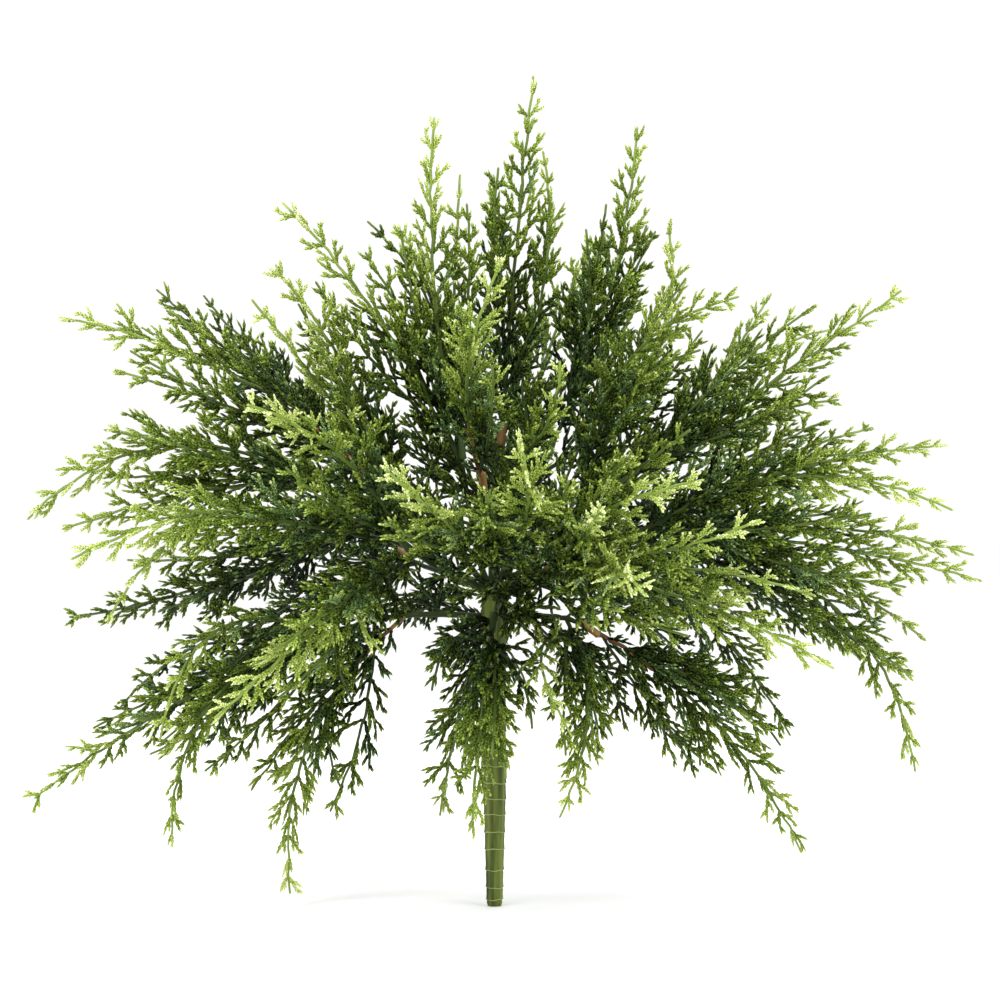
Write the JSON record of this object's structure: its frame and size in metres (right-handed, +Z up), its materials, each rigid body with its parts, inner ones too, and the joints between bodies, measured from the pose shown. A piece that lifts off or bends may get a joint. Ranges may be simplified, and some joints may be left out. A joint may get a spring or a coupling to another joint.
{
  "type": "artificial juniper bush",
  "caption": "Moulded plastic juniper bush: a ringed stem, coated wire boughs and spreading, drooping sprays of scale foliage.",
  "frame": {"origin": "centre of the flat cut under the stem, at ground level", "axes": "+Z up along the stem, +X to the right of the front view, +Y away from the front viewpoint"},
  "size_m": [0.426, 0.4005, 0.3728],
  "materials": {
    "stem_plastic": "olive green ringed plastic sleeve, satin",
    "wire_coating": "dark green coating over wire, satin",
    "foliage": "moulded scale foliage, dark blue-green inside to yellow-green at the tips, satin"
  },
  "bodies": {
    "root": {"bough_back_droop": "wire_coating", "bough_back_high": "wire_coating", "bough_back_left": "wire_coating", "bough_back_right": "wire_coating", "bough_front": "wire_coating", "bough_front_droop": "wire_coating", "bough_front_high": "wire_coating", "bough_front_left": "wire_coating", "bough_front_right": "wire_coating", "bough_left": "wire_coating", "bough_left_high": "wire_coating", "bough_left_low": "wire_coating", "bough_right": "wire_coating", "bough_right_high": "wire_coating", "bough_right_low": "wire_coating", "bough_top": "wire_coating", "bough_top_left": "wire_coating", "bough_top_right": "wire_coating", "foliage_back": "foliage", "foliage_back_droop": "foliage", "foliage_back_high_left": "foliage", "foliage_back_high_right": "foliage", "foliage_back_left": "foliage", "foliage_back_left_low": "foliage", "foliage_back_right": "foliage", "foliage_back_right_low": "foliage", "foliage_front": "foliage", "foliage_front_droop": "foliage", "foliage_front_droop_right": "foliage", "foliage_front_high": "foliage", "foliage_front_left": "foliage", "foliage_front_left_high": "foliage", "foliage_front_left_low": "foliage", "foliage_front_right": "foliage", "foliage_front_right_high": "foliage", "foliage_front_right_low": "foliage", "foliage_front_upper": "foliage", "foliage_left": "foliage", "foliage_left_back": "foliage", "foliage_left_droop": "foliage", "foliage_left_high": "foliage", "foliage_left_high_back": "foliage", "foliage_left_high_front": "foliage", "foliage_left_low": "foliage", "foliage_left_low_front": "foliage", "foliage_right": "foliage", "foliage_right_back": "foliage", "foliage_right_droop": "foliage", "foliage_right_front": "foliage", "foliage_right_high": "foliage", "foliage_right_high_back": "foliage", "foliage_right_high_front": "foliage", "foliage_right_low": "foliage", "foliage_top": "foliage", "foliage_top_left": "foliage", "foliage_top_right": "foliage", "foliage_upper_left": "foliage", "foliage_upper_right": "foliage", "fork_knob": "wire_coating", "stem": "stem_plastic"}
  },
  "joints": []
}
